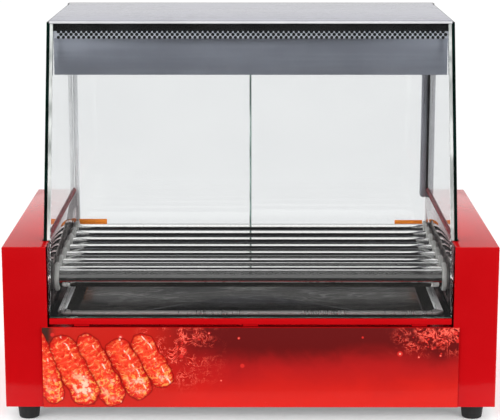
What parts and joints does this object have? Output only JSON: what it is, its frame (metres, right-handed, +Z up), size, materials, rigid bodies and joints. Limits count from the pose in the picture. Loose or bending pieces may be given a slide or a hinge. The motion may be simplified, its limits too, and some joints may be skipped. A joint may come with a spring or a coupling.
{
  "type": "hot dog roller grill",
  "caption": "Counter-top roller grill with red end boxes, driven heated rollers, drip tray, sloping glass hood and rear sliding doors.",
  "frame": {"origin": "on the counter, under the centre of the grill's bounding box", "axes": "+X to the customer's right along the rollers, +Y from the customer's side to the operator's side, +Z up"},
  "size_m": [0.584, 0.373, 0.468],
  "materials": {
    "red_paint": "gloss",
    "stainless": "brushed",
    "galvanised": "satin",
    "chrome": "polished",
    "glass": "clear",
    "aluminium": "satin",
    "ptfe": "matte",
    "black_plastic": "satin",
    "rubber": "matte",
    "gloss_plastic": "gloss"
  },
  "bodies": {
    "body": {"base_pan": "galvanised", "left_end_cover": "red_paint", "right_end_cover": "red_paint", "left_side_plate": "stainless", "right_side_plate": "stainless", "front_panel": "red_paint", "front_rail": "red_paint", "rear_panel": "stainless", "lower_door_track": "aluminium", "upper_door_track": "aluminium", "left_side_glass": "glass", "right_side_glass": "glass", "front_glass": "glass", "hood_top": "stainless", "hood_valance": "stainless", "drive_motor": "galvanised", "drive_chain": "galvanised", "cord_gland": "black_plastic", "front_left_foot": "rubber", "front_right_foot": "rubber", "rear_left_foot": "rubber", "rear_right_foot": "rubber", "left_bush_1": "ptfe", "right_bush_1": "ptfe", "left_bush_2": "ptfe", "right_bush_2": "ptfe", "left_bush_3": "ptfe", "right_bush_3": "ptfe", "left_bush_4": "ptfe", "right_bush_4": "ptfe", "left_bush_5": "ptfe", "right_bush_5": "ptfe", "left_bush_6": "ptfe", "right_bush_6": "ptfe", "left_bush_7": "ptfe", "right_bush_7": "ptfe", "heater_1": "galvanised", "heater_2": "galvanised", "heater_3": "galvanised", "heater_4": "galvanised", "heater_5": "galvanised", "heater_6": "galvanised", "heater_7": "galvanised"},
    "roller_1": {"roller_1": "chrome"},
    "roller_2": {"roller_2": "chrome"},
    "roller_3": {"roller_3": "chrome"},
    "roller_4": {"roller_4": "chrome"},
    "roller_5": {"roller_5": "chrome"},
    "roller_6": {"roller_6": "chrome"},
    "roller_7": {"roller_7": "chrome"},
    "motor_sprocket": {"motor_sprocket": "galvanised"},
    "left_door": {"left_door": "glass", "left_door_pull": "aluminium"},
    "right_door": {"right_door": "glass", "right_door_pull": "aluminium"},
    "tray": {"drip_tray": "stainless"},
    "front_thermostat_knob": {"front_thermostat_knob": "black_plastic"},
    "rear_thermostat_knob": {"rear_thermostat_knob": "black_plastic"},
    "power_switch": {"power_switch": "gloss_plastic"},
    "motor_switch": {"motor_switch": "gloss_plastic"}
  },
  "joints": [
    {"name": "roller_1_spin", "type": "hinge", "parent": "body", "child": "roller_1", "pos_m": [0, -0.123, 0.163], "axis": [1, 0, 0], "continuous": true},
    {"name": "roller_2_spin", "type": "hinge", "parent": "body", "child": "roller_2", "pos_m": [0, -0.0835, 0.163], "axis": [1, 0, 0], "continuous": true},
    {"name": "roller_3_spin", "type": "hinge", "parent": "body", "child": "roller_3", "pos_m": [0, -0.044, 0.163], "axis": [1, 0, 0], "continuous": true},
    {"name": "roller_4_spin", "type": "hinge", "parent": "body", "child": "roller_4", "pos_m": [0, -0.0045, 0.163], "axis": [1, 0, 0], "continuous": true},
    {"name": "roller_5_spin", "type": "hinge", "parent": "body", "child": "roller_5", "pos_m": [0, 0.035, 0.163], "axis": [1, 0, 0], "continuous": true},
    {"name": "roller_6_spin", "type": "hinge", "parent": "body", "child": "roller_6", "pos_m": [0, 0.0745, 0.163], "axis": [1, 0, 0], "continuous": true},
    {"name": "roller_7_spin", "type": "hinge", "parent": "body", "child": "roller_7", "pos_m": [0, 0.114, 0.163], "axis": [1, 0, 0], "continuous": true},
    {"name": "motor_spin", "type": "hinge", "parent": "body", "child": "motor_sprocket", "pos_m": [-0.25, -0.0045, 0.076], "axis": [1, 0, 0], "continuous": true},
    {"name": "left_door_slide", "type": "slide", "parent": "body", "child": "left_door", "axis": [1, 0, 0], "range_m": [0, 0.225]},
    {"name": "right_door_slide", "type": "slide", "parent": "body", "child": "right_door", "axis": [-1, 0, 0], "range_m": [0, 0.225]},
    {"name": "tray_slide", "type": "slide", "parent": "body", "child": "tray", "axis": [0, 1, 0], "range_m": [0, 0.3]},
    {"name": "front_thermostat_turn", "type": "hinge", "parent": "body", "child": "front_thermostat_knob", "pos_m": [-0.12, 0.1619, 0.068], "axis": [0, -1, 0], "range_deg": [0, 270]},
    {"name": "rear_thermostat_turn", "type": "hinge", "parent": "body", "child": "rear_thermostat_knob", "pos_m": [-0.06, 0.1619, 0.068], "axis": [0, -1, 0], "range_deg": [0, 270]},
    {"name": "power_switch_rock", "type": "hinge", "parent": "body", "child": "power_switch", "pos_m": [0.02, 0.1619, 0.068], "axis": [1, 0, 0], "range_deg": [0, 16]},
    {"name": "motor_switch_rock", "type": "hinge", "parent": "body", "child": "motor_switch", "pos_m": [0.06, 0.1619, 0.068], "axis": [1, 0, 0], "range_deg": [0, 16]}
  ],
  "couplings": [
    {"joint": "roller_2_spin", "follows": "roller_1_spin", "ratio": 1},
    {"joint": "roller_3_spin", "follows": "roller_1_spin", "ratio": 1},
    {"joint": "roller_4_spin", "follows": "roller_1_spin", "ratio": 1},
    {"joint": "roller_5_spin", "follows": "roller_1_spin", "ratio": 1},
    {"joint": "roller_6_spin", "follows": "roller_1_spin", "ratio": 1},
    {"joint": "roller_7_spin", "follows": "roller_1_spin", "ratio": 1},
    {"joint": "motor_spin", "follows": "roller_1_spin", "ratio": 1}
  ]
}
